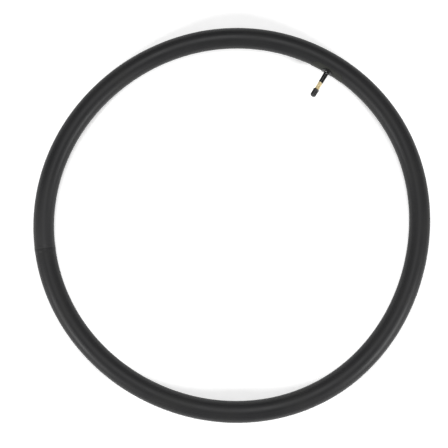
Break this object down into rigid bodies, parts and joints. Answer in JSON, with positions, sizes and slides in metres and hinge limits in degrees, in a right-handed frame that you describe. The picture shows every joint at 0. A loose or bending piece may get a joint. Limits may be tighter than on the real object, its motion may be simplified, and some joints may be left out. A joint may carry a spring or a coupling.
{
  "type": "inner tube",
  "caption": "Inflated butyl ring with a rubber-covered valve stem, a screw-in spring valve core and a screw-on dust cap.",
  "frame": {"origin": "centre of the ring, on the mid-plane of the tube, which is where the wheel's axle would pass", "axes": "+Z along the ring's axis (the tube lies on its side), valve on the +X side; the valve axis runs from the middle of the tube's section towards the ring's centre and leans 15 degrees towards +Z"},
  "size_m": [0.665, 0.6649, 0.0385],
  "materials": {
    "butyl_rubber": "extruded and cured butyl, dry satin, dusted with talc",
    "patch_rubber": "calendered butyl patch, slightly paler and duller than the tube",
    "moulded_rubber": "compression-moulded rubber, smooth and glossy",
    "stem_brass": "turned and thread-rolled brass, bright",
    "cap_plastic": "moulded black polyamide, fine satin",
    "seal_rubber": "moulded rubber, matt",
    "core_brass": "turned brass",
    "gasket_ptfe": "red PTFE-coated ring",
    "pin_brass": "drawn brass wire, headed",
    "spring_steel": "drawn stainless spring wire"
  },
  "bodies": {
    "root": {"tube_body": "butyl_rubber", "valve_patch": "patch_rubber", "stem_rubber": "moulded_rubber", "valve_stem": "stem_brass"},
    "cap_carrier": {"cap_seal": "seal_rubber"},
    "cap": {"valve_cap": "cap_plastic"},
    "core": {"core_barrel": "core_brass", "core_gasket": "gasket_ptfe", "core_spring": "spring_steel"},
    "core_head": {"core_plug": "core_brass"},
    "pin": {"core_pin": "pin_brass", "core_collar": "core_brass", "core_cup": "core_brass", "core_washer": "seal_rubber"}
  },
  "joints": [
    {"name": "cap_lift", "type": "slide", "parent": "root", "child": "cap_carrier", "axis": [-0.9659, 0, 0.2588], "range_m": [0, 0.01111]},
    {"name": "cap_turn", "type": "hinge", "parent": "cap_carrier", "child": "cap", "pos_m": [0.315, 0, 0], "axis": [-0.9659, 0, 0.2588], "range_deg": [0, 5040.5]},
    {"name": "core_lift", "type": "slide", "parent": "root", "child": "core", "axis": [-0.9659, 0, 0.2588], "range_m": [0, 0.00141]},
    {"name": "core_turn", "type": "hinge", "parent": "core", "child": "core_head", "pos_m": [0.315, 0, 0], "axis": [-0.9659, 0, 0.2588], "range_deg": [0, 720.5]},
    {"name": "pin_press", "type": "slide", "parent": "core", "child": "pin", "axis": [0.9659, 0, -0.2588], "range_m": [0, 0.0012], "stiffness_N_per_m": 800, "springref_m": -0.003, "deforming": ["core_spring"]}
  ],
  "couplings": [
    {"joint": "cap_turn", "follows": "cap_lift", "rad_per_m": 7915.8},
    {"joint": "core_turn", "follows": "core_lift", "rad_per_m": 8905.2}
  ]
}
